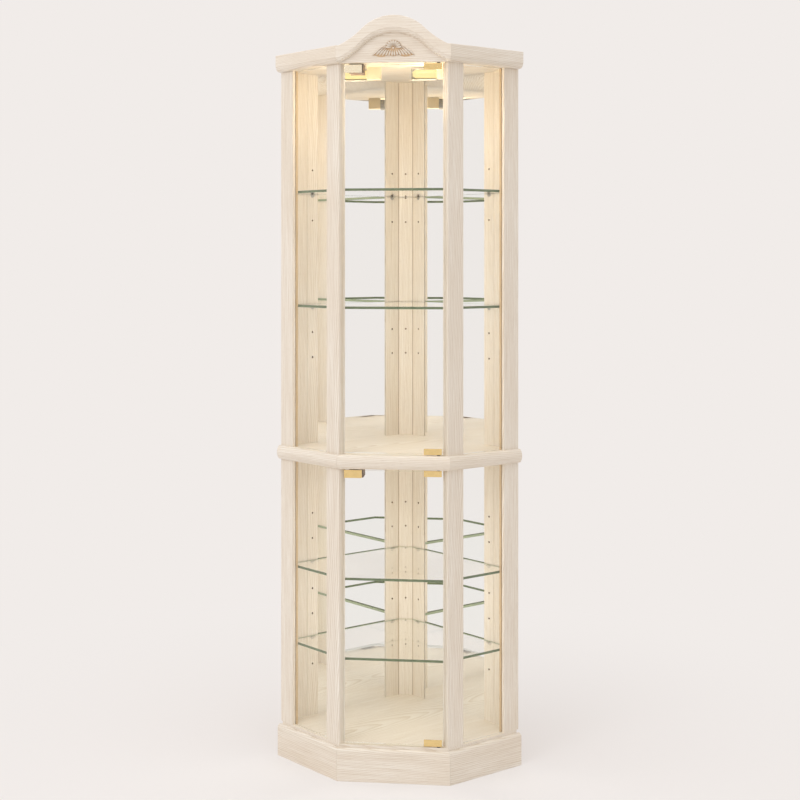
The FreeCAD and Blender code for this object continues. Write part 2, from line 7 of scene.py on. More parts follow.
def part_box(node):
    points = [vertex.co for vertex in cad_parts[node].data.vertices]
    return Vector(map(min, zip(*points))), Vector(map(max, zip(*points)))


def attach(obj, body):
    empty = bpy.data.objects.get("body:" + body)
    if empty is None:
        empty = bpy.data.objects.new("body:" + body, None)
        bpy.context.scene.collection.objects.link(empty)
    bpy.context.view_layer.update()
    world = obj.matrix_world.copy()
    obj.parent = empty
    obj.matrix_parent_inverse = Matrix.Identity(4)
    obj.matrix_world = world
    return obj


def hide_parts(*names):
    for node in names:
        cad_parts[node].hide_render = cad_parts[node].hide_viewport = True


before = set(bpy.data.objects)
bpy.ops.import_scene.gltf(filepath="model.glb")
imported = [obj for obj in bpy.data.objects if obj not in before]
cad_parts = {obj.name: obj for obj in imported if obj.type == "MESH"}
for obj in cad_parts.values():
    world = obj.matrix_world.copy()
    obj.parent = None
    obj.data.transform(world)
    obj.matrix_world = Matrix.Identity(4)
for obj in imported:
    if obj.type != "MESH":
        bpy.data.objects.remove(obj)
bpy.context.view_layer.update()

scene = bpy.context.scene
scene.view_settings.view_transform = "Standard"
scene.cycles.max_bounces = 20            # panes, shelves and mirrors stack up
scene.cycles.transmission_bounces = 18
scene.cycles.glossy_bounces = 8
scene.cycles.transparent_max_bounces = 24


def linear(red, green, blue):
    # 0 to 255 as a screen shows them, to the light values that shaders want
    def one(value):
        value /= 255.0
        return value / 12.92 if value <= 0.04045 else ((value + 0.055) / 1.055) ** 2.4
    return (one(red), one(green), one(blue), 1.0)


# camera
view = {
    "place": (0.2690, -3.7401, 1.2371),
    "turn": 0.12432,                     # radians, to the left of straight ahead
    "lens": 67.577,
    "sensor": 36.0,
    "shiftAcross": 0.09846,
    "shiftUp": -0.18077,
    "farLimit": 200.0,
}

camera = bpy.data.objects.new("camera", bpy.data.cameras.new("camera"))
camera.location = view["place"]
camera.rotation_euler = (math.radians(90.0), 0.0, view["turn"])
camera.data.lens = view["lens"]
camera.data.sensor_width = view["sensor"]
camera.data.shift_x = view["shiftAcross"]
camera.data.shift_y = view["shiftUp"]
camera.data.clip_end = view["farLimit"]
scene.collection.objects.link(camera)
scene.camera = camera
print("camera set")


# node helpers
class Tree:
    noiseLow = 0.3                       # nearly all of a noise lies between these two
    noiseHigh = 0.7

    def __init__(self, owner):
        owner.use_nodes = True
        self.tree = owner.node_tree
        self.tree.nodes.clear()

    def add(self, kind, inputs=None, **settings):
        node = self.tree.nodes.new(kind)
        for key, value in settings.items():
            setattr(node, key, value)
        for key, value in (inputs or {}).items():
            self.feed(node.inputs[key], value)
        return node

    def feed(self, socket, value):
        if isinstance(value, bpy.types.NodeSocket):
            self.tree.links.new(value, socket)
        else:
            socket.default_value = value

    def place(self):
        return self.add("ShaderNodeTexCoord").outputs["Object"]

    def math(self, operation, first, second=0.0, clamp=False):
        node = self.add("ShaderNodeMath", {0: first, 1: second}, operation=operation,
                        use_clamp=clamp)
        return node.outputs[0]

    def vector(self, operation, first, second):
        node = self.add("ShaderNodeVectorMath", {0: first, 1: second}, operation=operation)
        return node.outputs[0]

    def dot(self, first, second):
        node = self.add("ShaderNodeVectorMath", {0: first, 1: second}, operation="DOT_PRODUCT")
        return node.outputs["Value"]

    def length(self, vector):
        node = self.add("ShaderNodeVectorMath", {0: vector}, operation="LENGTH")
        return node.outputs["Value"]

    def noise(self, place, scale, detail=2.0, roughness=0.5):
        stretched = self.vector("MULTIPLY", place, scale)
        node = self.add("ShaderNodeTexNoise", {"Vector": stretched, "Scale": 1.0,
                                               "Detail": detail, "Roughness": roughness})
        return node.outputs["Fac"]

    def span(self, value, low, high, start=0.0, end=1.0, kind="LINEAR"):
        node = self.add("ShaderNodeMapRange", {"Value": value, "From Min": low, "From Max": high,
                                               "To Min": start, "To Max": end},
                        interpolation_type=kind)
        return node.outputs["Result"]

    def swing(self, noise, start=0.0, end=1.0):
        return self.span(noise, self.noiseLow, self.noiseHigh, start, end)

    def blend(self, share, first, second):
        node = self.add("ShaderNodeMix", data_type="RGBA")
        self.feed(node.inputs["Factor"], share)
        self.feed(node.inputs[6], first)
        self.feed(node.inputs[7], second)
        return node.outputs[2]

    def bump(self, height, strength, depth):
        node = self.add("ShaderNodeBump", {"Height": height, "Strength": strength,
                                           "Distance": depth})
        return node.outputs[0]

    def seenDirectly(self):
        # camera, mirror and glass rays, but not the light that falls on things
        path = self.add("ShaderNodeLightPath")
        either = self.math("MAXIMUM", path.outputs["Is Camera Ray"],
                           path.outputs["Is Glossy Ray"])
        return self.math("MAXIMUM", either, path.outputs["Is Transmission Ray"])

    def mix(self, share, first, second):
        return self.add("ShaderNodeMixShader", {0: share, 1: first, 2: second}).outputs[0]

    def finish(self, surface):
        self.add("ShaderNodeOutputMaterial", {"Surface": surface})

    def finishPrincipled(self, inputs):
        self.finish(self.add("ShaderNodeBsdfPrincipled", inputs).outputs[0])


def meshPiece(name, shape):
    mesh = bpy.data.meshes.new(name)
    shape.to_mesh(mesh)
    shape.free()
    piece = bpy.data.objects.new(name, mesh)
    scene.collection.objects.link(piece)
    return piece


def dress(piece, material):
    piece.data.materials.clear()
    piece.data.materials.append(material)


# room: pale surround, floor with a soft shadow, studio lights
room = {
    "backdrop": linear(241, 236, 233),
    "skyLight": (1.0, 0.985, 0.99, 1.0),
    "skyStrength": 0.88,
    "floorColour": linear(234, 229, 225),
    "floorReach": 30.0,
    "floorSides": 64,
    "shadowShare": 0.50,                 # how much of the floor is lit, the rest glows evenly
    "shadowStart": 0.2,                  # from the middle outwards, where the lit share fades
    "shadowReach": 1.6,
    "softBoxSize": 2.6,
    "softBoxAim": (0.0, 0.0, 0.9),       # about the middle of the cabinet
    "keyPlace": (-2.6, -4.1, 3.4),
    "keyPower": 54.0,
    "keyColour": (0.985, 1.0, 1.05),
    "overheadPlace": (-0.3, -1.0, 4.2),
    "overheadPower": 24.0,
    "overheadColour": (1.0, 1.0, 1.0),
}

world = bpy.data.worlds.new("surround")
scene.world = world
sky = Tree(world)
lightSky = sky.add("ShaderNodeBackground", {"Color": room["skyLight"],
                                            "Strength": room["skyStrength"]})
seenSky = sky.add("ShaderNodeBackground", {"Color": room["backdrop"], "Strength": 1.0})
bothSkies = sky.mix(sky.seenDirectly(), lightSky.outputs[0], seenSky.outputs[0])
sky.add("ShaderNodeOutputWorld", {"Surface": bothSkies})

floorShape = bmesh.new()
bmesh.ops.create_circle(floorShape, cap_ends=True, segments=room["floorSides"],
                        radius=room["floorReach"])
floor = meshPiece("floor", floorShape)

floorFinish = bpy.data.materials.new("studioFloor")
paper = Tree(floorFinish)
litShare = paper.span(paper.length(paper.place()), room["shadowStart"], room["shadowReach"],
                      room["shadowShare"], 0.0, "SMOOTHSTEP")
glow = paper.add("ShaderNodeEmission", {"Color": room["backdrop"], "Strength": 1.0}).outputs[0]
lit = paper.add("ShaderNodeBsdfDiffuse", {"Color": room["floorColour"]}).outputs[0]
shown = paper.mix(litShare, glow, lit)
paper.finish(paper.mix(paper.seenDirectly(), lit, shown))
dress(floor, floorFinish)


def softBox(name, place, power, colour):
    lamp = bpy.data.objects.new(name, bpy.data.lights.new(name, "AREA"))
    lamp.data.shape = "DISK"
    lamp.data.size = room["softBoxSize"]
    lamp.data.energy = power
    lamp.data.color = colour
    lamp.location = place
    aim = Vector(room["softBoxAim"]) - lamp.location
    lamp.rotation_euler = aim.to_track_quat("-Z", "Y").to_euler()
    scene.collection.objects.link(lamp)


softBox("keyLight", room["keyPlace"], room["keyPower"], room["keyColour"])
softBox("overheadLight", room["overheadPlace"], room["overheadPower"], room["overheadColour"])


def hiddenLight(name, place, power, colour, size):
    lamp = bpy.data.objects.new(name, bpy.data.lights.new(name, "POINT"))
    lamp.data.energy = power
    lamp.data.color = colour
    lamp.data.shadow_soft_size = size
    lamp.location = place
    lamp.visible_camera = lamp.visible_glossy = lamp.visible_transmission = False
    scene.collection.objects.link(lamp)


# soft fill down the middle of both compartments
fill = {
    "setback": -0.05,
    "colour": (1.0, 0.985, 0.965),
    "size": 0.08,
    "levels": ((0.34, 0.66), (0.60, 0.44),                    # height and watts
               (0.98, 0.42), (1.24, 0.25), (1.50, 0.21)),
}
for height, power in fill["levels"]:
    hiddenLight("fill_%d" % round(1000 * height), (0.0, fill["setback"], height), power,
                fill["colour"], fill["size"])
print("room and studio lights set")


# limed oak: pale lacquered boards, each with its own piece of the log
oakOutside = {
    "name": "limedOakOutside",
    "pale": linear(242, 236, 225),
    "body": linear(231, 219, 202),
    "late": linear(204, 186, 162),
    "pore": linear(180, 156, 128),
    "roughness": 0.46,
}
oakInside = {
    "name": "limedOakInside",
    "pale": linear(240, 233, 219),
    "body": linear(231, 220, 201),
    "late": linear(206, 189, 161),
    "pore": linear(178, 154, 122),
    "roughness": 0.50,
}
oakBead = {
    "name": "goldenBead",
    "pale": linear(222, 198, 158),
    "body": linear(208, 180, 138),
    "late": linear(184, 152, 108),
    "pore": linear(160, 128, 88),
    "roughness": 0.44,
}
grain = {
    "logStart": (0.0, -0.025, 0.045),    # along the log, and two ways across from its heart
    "logReach": (3.0, 0.05, 0.05),
    "logSteps": (0.618, 0.377, 0.724),   # spread the boards evenly over that reach
    "ring": 0.0036,                      # spacing of the growth rings
    "ringPower": 2.6,                    # higher leaves a thinner dark line in each ring
    "ringFade": 0.93,
    "taper": 0.045,                      # how fast rings run out along a board
    "slow": (1.6, 7.0, 2.0),             # noise scale along and across a board, and detail
    "slowWander": 0.018,
    "wide": (5.0, 30.0, 3.0),
    "wideWander": 0.0045,
    "cloud": (3.0, 14.0, 3.0),
    "cloudShare": (0.15, 0.75),          # of body tone in the pale tone
    "fibre": (9.0, 640.0, 3.0, 0.65),    # the last number is the roughness of the noise
    "fibreSpan": (0.32, 0.68),
    "fibreShare": (-0.16, 0.46),         # of late tone
    "lateShare": 0.64,
    "pore": (70.0, 1700.0, 1.0),
    "poreSpan": (0.60, 0.72),
    "poreInLate": 0.6,                   # late wood in which pores are darkest
    "poreShare": (0.12, 0.45),
    "poreRelief": -0.6,
    "fibreRelief": 0.5,
    "bump": (0.22, 0.0004),              # strength and depth
    "gloss": (-0.06, 0.08),              # how far the roughness swings
    "specular": 0.42,
    "hollowShadeTone": linear(200, 164, 118),
    "hollowShadeShare": 0.95,                 # painted shade in the carved hollows, strongest near the panel
    "seamShadowTone": linear(146, 112, 66),    # painted shadow line in the joint between two boards
    "seamShare": 0.85,
    "seamWidth": 0.0015,
    "holeShadeTone": linear(134, 106, 72),    # painted shade inside the shelf-peg holes
    "holeReach": 0.0032,
    "holeStart": 0.0002,
    "holeEnd": 0.0060,
}
diagonal = 1.0 / math.sqrt(2.0)
upright = (0.0, 0.0, 1.0)
acrossFront = (1.0, 0.0, 0.0)
towardsCorner = (0.0, 1.0, 0.0)
alongLeft = (-diagonal, diagonal, 0.0)
alongRight = (diagonal, diagonal, 0.0)


def grainNoise(wood, board, name):
    along, across, *detail = grain[name]
    return wood.noise(board, (along, across, across), *detail)


def placeInLog(wood, here, along, centre, index):
    # turns a board to lie along the log and moves it to a part of the log that is its own
    turn = Vector(along).rotation_difference(Vector(acrossFront)).to_euler()
    turned = wood.add("ShaderNodeMapping", {"Vector": wood.vector("SUBTRACT", here, tuple(centre)),
                                            "Rotation": tuple(turn)})
    logPlace = tuple(start + reach * ((index * step) % 1.0) for start, reach, step in
                     zip(grain["logStart"], grain["logReach"], grain["logSteps"]))
    return wood.vector("ADD", turned.outputs[0], logPlace)


def lateWood(wood, board):
    # the dark line at the end of each growth ring
    split = wood.add("ShaderNodeSeparateXYZ", {0: board})
    flat = wood.add("ShaderNodeCombineXYZ", {"Y": split.outputs["Y"], "Z": split.outputs["Z"]})
    radius = wood.length(flat.outputs[0])
    for amount, factor in ((split.outputs["X"], grain["taper"]),
                           (grainNoise(wood, board, "slow"), grain["slowWander"]),
                           (grainNoise(wood, board, "wide"), grain["wideWander"])):
        radius = wood.math("ADD", radius, wood.math("MULTIPLY", amount, factor))
    rings = wood.math("FRACT", wood.math("DIVIDE", radius, grain["ring"]))
    fade = wood.span(rings, grain["ringFade"], 1.0, 1.0, 0.0)
    return wood.math("MULTIPLY", wood.math("POWER", rings, grain["ringPower"]), fade)


# paints a dark shadow line along the joint between two boards
def paintedSeamShadow(wood, tone, here, seam):
    across = wood.add("ShaderNodeSeparateXYZ", {0: here}).outputs["X"]
    off = wood.math("SUBTRACT", wood.math("ABSOLUTE", across), seam)
    share = wood.span(wood.math("ABSOLUTE", off), 0.0, grain["seamWidth"], grain["seamShare"], 0.0)
    return wood.blend(share, tone, grain["seamShadowTone"])


# paints shade into the carving, darker the nearer a face lies to the panel
def paintedHollowShade(wood, tone, here, hollows):
    back = wood.add("ShaderNodeSeparateXYZ", {0: here}).outputs["Y"]
    share = wood.span(back, hollows[0], hollows[1], 0.0, grain["hollowShadeShare"])
    return wood.blend(share, tone, grain["hollowShadeTone"])


# paints shade on the faces inside the peg holes of a row, below the mouth
def paintedHoleShade(wood, tone, here, row):
    mouth, inward = row
    offset = wood.vector("SUBTRACT", here, tuple(mouth))
    depth = wood.dot(offset, tuple(inward))
    aside = wood.math("ABSOLUTE", wood.dot(offset, (-inward.y, inward.x, 0.0)))
    near = wood.math("MULTIPLY", wood.math("LESS_THAN", aside, grain["holeReach"]),
                     wood.math("LESS_THAN", depth, grain["holeEnd"]))
    deep = wood.math("MULTIPLY", near, wood.math("GREATER_THAN", depth, grain["holeStart"]))
    return wood.blend(deep, tone, grain["holeShadeTone"])


def limedOak(name, look, along, centre, index, hollows=None, seam=None, row=None):
    # hollows: places on Y between which a carving goes from pale crown to painted shade in the
    # hollow
    # seam: distance from the middle plane of the cabinet at which two boards meet; a dark shadow
    # line is painted there
    # row: mouth of one peg hole and the way into the wood, for a board with a row of holes whose
    # insides get painted shade
    material = bpy.data.materials.new(name)
    wood = Tree(material)
    here = wood.place()
    board = placeInLog(wood, here, along, centre, index)
    late = lateWood(wood, board)
    fibre = grainNoise(wood, board, "fibre")
    pores = wood.span(grainNoise(wood, board, "pore"), *grain["poreSpan"])
    cloud = grainNoise(wood, board, "cloud")

    tone = wood.blend(wood.swing(cloud, *grain["cloudShare"]), look["pale"], look["body"])
    share = wood.math("ADD", wood.math("MULTIPLY", late, grain["lateShare"]),
                      wood.span(fibre, *grain["fibreSpan"], *grain["fibreShare"]))
    tone = wood.blend(wood.math("MULTIPLY", share, 1.0, True), tone, look["late"])
    openPores = wood.span(late, 0.0, grain["poreInLate"], *grain["poreShare"])
    tone = wood.blend(wood.math("MULTIPLY", pores, openPores), tone, look["pore"])
    if hollows:
        tone = paintedHollowShade(wood, tone, here, hollows)
    if seam:
        tone = paintedSeamShadow(wood, tone, here, seam)
    if row:
        tone = paintedHoleShade(wood, tone, here, row)

    relief = wood.math("ADD", wood.math("MULTIPLY", pores, grain["poreRelief"]),
                       wood.math("MULTIPLY", fibre, grain["fibreRelief"]))
    smoother, rougher = grain["gloss"]
    wood.finishPrincipled({
        "Base Color": tone, "Normal": wood.bump(relief, *grain["bump"]),
        "Roughness": wood.swing(fibre, look["roughness"] + smoother, look["roughness"] + rougher),
        "Specular IOR Level": grain["specular"],
    })
    return material


# eased edges and clean shading for the boards, glass and fittings
edges = {
    "weld": 0.000002,
    "flatWithin": math.radians(0.6),     # faces this close to one plane become one face
    "sharpFrom": math.radians(34.0),
    "woodWidth": 0.0006,
    "fittingWidth": 0.00035,
    "collarWidth": 0.000175,
    "paneWidth": 0.0008,                 # ground arris round doors and side glass
    "shelfWidth": 0.0014,
    "turnedAway": 0.6,                   # cosine from which a face counts as an edge
}


def nodeModifier(name, build):
    # geometry-node group with one mesh in and one out; build() gets what it needs to fill it
    group = bpy.data.node_groups.new(name, "GeometryNodeTree")
    group.interface.new_socket("Geometry", in_out="INPUT", socket_type="NodeSocketGeometry")
    group.interface.new_socket("Geometry", in_out="OUTPUT", socket_type="NodeSocketGeometry")
    mesh = group.nodes.new("NodeGroupInput").outputs[0]
    group.links.new(build(group, mesh), group.nodes.new("NodeGroupOutput").inputs[0])
    return group


def compareWith(group, value, operation, limit):
    compare = group.nodes.new("FunctionNodeCompare")
    compare.operation = operation
    compare.inputs["B"].default_value = limit
    group.links.new(value, compare.inputs["A"])
    return compare.outputs[0]


def freshShading(rounded):
    # drops the stored normals, then shades flat, or smooth up to the sharp edges
    def build(group, mesh):
        drop = group.nodes.new("GeometryNodeRemoveAttribute")
        drop.inputs["Name"].default_value = "custom_normal"
        faces = group.nodes.new("GeometryNodeSetShadeSmooth")
        faces.domain = "FACE"
        faces.inputs["Shade Smooth"].default_value = rounded
        borders = group.nodes.new("GeometryNodeSetShadeSmooth")
        borders.domain = "EDGE"
        angle = group.nodes.new("GeometryNodeInputMeshEdgeAngle").outputs["Unsigned Angle"]
        gentle = compareWith(group, angle, "LESS_EQUAL", edges["sharpFrom"])
        group.links.new(mesh, drop.inputs["Geometry"])
        group.links.new(drop.outputs[0], faces.inputs["Geometry"])
        group.links.new(faces.outputs[0], borders.inputs["Geometry"])
        group.links.new(gentle, borders.inputs["Shade Smooth"])
        return borders.outputs[0]
    return nodeModifier("rounded shading" if rounded else "flat shading", build)


roundedShading = freshShading(True)
flatShading = freshShading(False)


def edgeSelector(name, normal, material, towards=None):
    # gives the faces that turn away from normal, such as a pane's edges, their own material,
    # or with towards only those that turn to it more than that cosine
    def build(group, mesh):
        facing = group.nodes.new("GeometryNodeInputNormal")
        dot = group.nodes.new("ShaderNodeVectorMath")
        dot.operation = "DOT_PRODUCT"
        dot.inputs[1].default_value = normal
        size = group.nodes.new("ShaderNodeMath")
        size.operation = "ABSOLUTE"
        paint = group.nodes.new("GeometryNodeSetMaterial")
        paint.inputs["Material"].default_value = material
        group.links.new(facing.outputs[0], dot.inputs[0])
        group.links.new(dot.outputs["Value"], size.inputs[0])
        group.links.new(mesh, paint.inputs["Geometry"])
        if towards:
            chosen = compareWith(group, dot.outputs["Value"], "GREATER_THAN", towards)
        else:
            chosen = compareWith(group, size.outputs[0], "LESS_THAN", edges["turnedAway"])
        group.links.new(chosen, paint.inputs["Selection"])
        return paint.outputs[0]
    return nodeModifier(name, build)


def addWeld(piece):
    piece.modifiers.new("weld", "WELD").merge_threshold = edges["weld"]


def addGroup(piece, group):
    piece.modifiers.new(group.name, "NODES").node_group = group


def addBevel(piece, width, segments):
    bevel = piece.modifiers.new("eased edges", "BEVEL")
    bevel.width = width
    bevel.segments = segments
    bevel.limit_method = "ANGLE"
    bevel.angle_limit = edges["sharpFrom"]


def softenEdges(piece, width, segments=2):
    addWeld(piece)
    merge = piece.modifiers.new("flat faces", "DECIMATE")
    merge.decimate_type = "DISSOLVE"
    merge.angle_limit = edges["flatWithin"]
    addGroup(piece, roundedShading)
    addBevel(piece, width, segments)
    addGroup(piece, roundedShading)
    piece.modifiers.new("even shading", "WEIGHTED_NORMAL").keep_sharp = True


# shelf pegs: where each one enters the wood, for its hole and its collar
pegs = {
    "plug": 0.0050,                      # length of a peg inside the wood
    "behind": -0.03,                     # pegs further forward than this sit in the posts
}


def looseSolids(piece):
    # the vertex places of each solid in a node that holds several
    shape = bmesh.new()
    shape.from_mesh(piece.data)
    bmesh.ops.remove_doubles(shape, verts=shape.verts, dist=edges["weld"])
    seen = set()
    solids = []
    for start in shape.verts:
        if start in seen:
            continue
        seen.add(start)
        found = [start]
        for vertex in found:
            for link in vertex.link_edges:
                other = link.other_vert(vertex)
                if other not in seen:
                    seen.add(other)
                    found.append(other)
        solids.append([vertex.co.copy() for vertex in found])
    shape.free()
    return solids


def pegMouths():
    mouths = []
    for places in looseSolids(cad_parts["shelf_pegs"]):
        centre = sum(places, Vector()) / len(places)
        inward = Vector((math.copysign(diagonal, centre.x),
                         math.copysign(diagonal, centre.y - pegs["behind"]), 0.0))
        beside = Vector((-inward.y, inward.x, 0.0))
        reach = max(place.dot(inward) for place in places) - pegs["plug"]
        across = [place.dot(beside) for place in places]
        height = [place.z for place in places]
        mouths.append((inward * reach + beside * (min(across) + max(across)) / 2.0
                       + Vector((0.0, 0.0, (min(height) + max(height)) / 2.0)), inward))
    return mouths


def holeRow(name, low, high):
    # the corner post's row is spare; every other row holds pegs, and one of them shows the way
    if name == "corner_post":
        return Vector((0.0, low.y, 0.0)), Vector(towardsCorner)
    if "_post_" in name or "_stile_" in name:
        for mouth, inward in mouths:
            probe = mouth + 0.5 * pegs["plug"] * inward
            inside = all(low[axis] < probe[axis] < high[axis] for axis in range(3))
            if inside and (inward.y < 0.0) == ("_post_" in name):
                return mouth, inward
    return None


mouths = pegMouths()
boards = {
    "plinth_front": (oakOutside, acrossFront), "plinth_left": (oakOutside, alongLeft),
    "plinth_right": (oakOutside, alongRight),
    "waist_front": (oakOutside, acrossFront), "waist_left": (oakOutside, alongLeft),
    "waist_right": (oakOutside, alongRight),
    "crest_cornice": (oakOutside, acrossFront), "cornice_left": (oakOutside, alongLeft),
    "cornice_right": (oakOutside, alongRight), "tympanum": (oakOutside, acrossFront),
    "front_post_left": (oakOutside, upright), "front_post_right": (oakOutside, upright),
    "rear_post_left": (oakOutside, upright), "rear_post_right": (oakOutside, upright),
    "floor_panel": (oakInside, alongRight), "divider_panel": (oakInside, alongRight),
    "top_panel": (oakInside, acrossFront), "corner_post": (oakInside, upright),
    "corner_stile_left": (oakInside, upright), "corner_stile_right": (oakInside, upright),
    "side_glass_beads": (oakBead, upright),
    "wall_stile_left": (oakInside, upright), "wall_stile_right": (oakInside, upright),
}
floorEdgeLog = 30                        # the floor's edge shows outside, so it is outside oak
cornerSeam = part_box("corner_stile_right")[0].x
for index, (name, (look, along)) in enumerate(boards.items(), start=1):
    low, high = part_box(name)
    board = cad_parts[name]
    seam = cornerSeam if name.startswith("corner_") else None
    dress(board, limedOak(look["name"] + "_" + name, look, along, (low + high) / 2.0, index,
                          seam=seam, row=holeRow(name, low, high)))
    softenEdges(board, edges["woodWidth"])
    if "_post_" in name or "beads" in name:
        board.visible_glossy = False     # the mirrors show the pale room, not the posts
low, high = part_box("floor_panel")
floorEdge = limedOak("limedOakOutside_floorEdge", oakOutside, acrossFront, (low + high) / 2.0,
                     floorEdgeLog)
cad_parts["floor_panel"].data.materials.append(floorEdge)
addGroup(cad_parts["floor_panel"], edgeSelector("floorEdges", upright, floorEdge))
print("oak boards dressed:", len(boards))


# hardboard back: pressed fibre, smooth side out
hardboard = {
    "nodes": ("back_panel_left", "back_panel_right", "plinth_back_left", "plinth_back_right"),
    "pale": linear(208, 180, 140),
    "body": linear(190, 158, 116),
    "fleck": linear(150, 118, 82),
    "roughness": (0.68, 0.82),
    "cloud": ((9.0, 9.0, 6.0), 4.0, 0.6),                     # noise scale, detail, roughness
    "fine": ((420.0, 420.0, 300.0), 3.0, 0.7),
    "fineShare": 0.28,
    "flecks": ((900.0, 900.0, 500.0), 2.0),
    "fleckSpan": (0.62, 0.74),
    "fleckShare": 0.5,
    "bump": (0.3, 0.0004),
}


def pressedFibre():
    material = bpy.data.materials.new("pressedFibre")
    fibre = Tree(material)
    place = fibre.place()
    cloud = fibre.noise(place, *hardboard["cloud"])
    fine = fibre.noise(place, *hardboard["fine"])
    flecks = fibre.span(fibre.noise(place, *hardboard["flecks"]), *hardboard["fleckSpan"])
    tone = fibre.blend(fibre.swing(cloud), hardboard["body"], hardboard["pale"])
    tone = fibre.blend(fibre.swing(fine, 0.0, hardboard["fineShare"]), tone, hardboard["fleck"])
    tone = fibre.blend(fibre.math("MULTIPLY", flecks, hardboard["fleckShare"]), tone,
                       hardboard["fleck"])
    fibre.finishPrincipled({
        "Base Color": tone, "Roughness": fibre.swing(cloud, *hardboard["roughness"]),
        "Normal": fibre.bump(fine, *hardboard["bump"]),
    })
    return material


backFinish = pressedFibre()
for name in hardboard["nodes"]:
    dress(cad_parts[name], backFinish)
    softenEdges(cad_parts[name], edges["woodWidth"])
print("back dressed")


# crest carving: a fan of fluted petals over two drooping sprays of leaves
carving = {
    "log": 9,
    "panel": -0.2220,                    # face that the carving is glued to
    "hollow": 0.0004,                    # faces this close to the panel get the full painted hollow shade
    "crown": 0.0026,
    "petals": 9,
    "petal": (0.0205, 0.0056, 0.0, 0.0050, 0.72),      # length, width, curl, relief, fullness
    "fanStart": 10.0,
    "boss": (0.0026, 0.0050),            # radius and height
    "beads": (5, 0.0060, 0.0009, 3.9),   # how many, how far out, radius, height in radii
    "tipBeads": (0.0192, 0.0011, 1.4),   # how far out, radius, height in radii
    "ground": (0.0188, 0.0008),          # thin disc behind the fan, low enough to take the painted hollow shade
    "feathers": 7,                       # in each wing, from the middle outwards
    "firstRoot": (0.0020, -0.0010),      # across and up from the middle of the fan
    "lastRoot": (0.0190, 0.0060),
    "firstTip": (0.0030, -0.0196),
    "lastTip": (0.0502, -0.0178),
    "feather": (0.0050, 0.0046, 0.66),   # width, relief, fullness
    "droop": -0.20,
    "backLeaf": ((0.0, -0.0060), (0.0490, -0.0150),
                 0.0190, 0.0009, 0.5),   # root and tip, then width, relief, fullness
    "vein": 0.42,                        # depth of the middle groove, as a share of the relief
    "veinWidth": 0.24,
    "leafStart": 0.01,                   # a leaf stops just short of both its points
    "leafRun": 0.985,
    "thinnest": 0.02,                    # keeps some relief at the points
    "steps": 14,                         # faces along a leaf, and on each half across
    "across": 6,
    "beadSides": (14, 9),
}


def outwards(angle):
    return Vector((math.cos(angle), 0.0, math.sin(angle)))


def carvedLeaf(shape, root, angle, length, width, curl, relief, fullness):
    # almond outline, crowned across, with a groove down the middle
    forward = outwards(angle)
    sideways = Vector((-forward.z, 0.0, forward.x))
    power = math.log(0.5) / math.log(fullness)
    rows = []
    for step in range(carving["steps"] + 1):
        along = carving["leafStart"] + carving["leafRun"] * step / carving["steps"]
        spread = math.sin(math.pi * along ** power)
        rise = relief * math.sqrt(max(spread, carving["thinnest"]))
        middle = root + length * (along * forward + curl * (along * along - along) * sideways)
        row = []
        for count in range(-carving["across"], carving["across"] + 1):
            share = math.sin(0.5 * math.pi * count / carving["across"])
            crown = math.sqrt(max(0.0, 1.0 - share * share))
            groove = 1.0 - carving["vein"] * math.exp(-(share / carving["veinWidth"]) ** 2)
            place = middle + 0.5 * width * spread * share * sideways
            front = carving["panel"] - rise * crown * groove
            row.append(shape.verts.new((place.x, front, place.z)))
        rows.append(row)
    for one, two in zip(rows, rows[1:]):
        for count in range(len(one)):
            after = (count + 1) % len(one)
            shape.faces.new((one[count], one[after], two[after], two[count]))
    shape.faces.new(rows[0])
    shape.faces.new(rows[-1])


def leafBetween(shape, root, tip, width, curl, relief, fullness):
    run = tip - root
    carvedLeaf(shape, root, math.atan2(run.z, run.x), run.length, width, curl, relief, fullness)


def carvedBead(shape, place, radius, height):
    # ball with its back half pressed flat on the panel
    sides, rings = carving["beadSides"]

    def point(ring, side):
        tilt = math.pi * ring / rings
        turn = math.pi * (0.5 + 2.0 * side / sides)
        lift = height * math.sin(tilt) * math.sin(turn)
        return shape.verts.new((place.x + radius * math.sin(tilt) * math.cos(turn),
                                carving["panel"] + min(lift, 0.0),
                                place.z + radius * math.cos(tilt)))

    top, bottom = point(0, 0), point(rings, 0)
    bands = [[point(ring, side) for side in range(sides)] for ring in range(1, rings)]
    for side in range(sides):
        after = (side + 1) % sides
        shape.faces.new((top, bands[0][side], bands[0][after]))
        shape.faces.new((bottom, bands[-1][after], bands[-1][side]))
        for one, two in zip(bands, bands[1:]):
            shape.faces.new((one[side], two[side], two[after], one[after]))


def carveFan(shape, middle):
    start = math.radians(carving["fanStart"])
    step = (math.pi - 2.0 * start) / (carving["petals"] - 1)
    out, radius, height = carving["tipBeads"]
    for number in range(carving["petals"]):
        angle = start + step * number
        carvedLeaf(shape, middle, angle, *carving["petal"])
        if number:
            carvedBead(shape, middle + out * outwards(angle - 0.5 * step), radius, height * radius)
    carvedBead(shape, middle, *carving["boss"])
    beads, out, radius, height = carving["beads"]
    for number in range(beads):
        spot = middle + out * outwards(math.pi * (number + 0.5) / beads)
        carvedBead(shape, spot, radius, height * radius)
    carvedBead(shape, middle, *carving["ground"])


def carveWing(shape, middle, side):
    def onWing(place):
        return middle + Vector((side * place[0], 0.0, place[1]))

    def partWay(first, last, share):
        return [one + share * (two - one) for one, two in zip(first, last)]

    root, tip, width, relief, fullness = carving["backLeaf"]
    leafBetween(shape, onWing(root), onWing(tip), width, 0.0, relief, fullness)
    width, relief, fullness = carving["feather"]
    for number in range(carving["feathers"]):
        share = number / (carving["feathers"] - 1)
        root = onWing(partWay(carving["firstRoot"], carving["lastRoot"], share))
        tip = onWing(partWay(carving["firstTip"], carving["lastTip"], share))
        leafBetween(shape, root, tip, width, side * share * carving["droop"], relief, fullness)


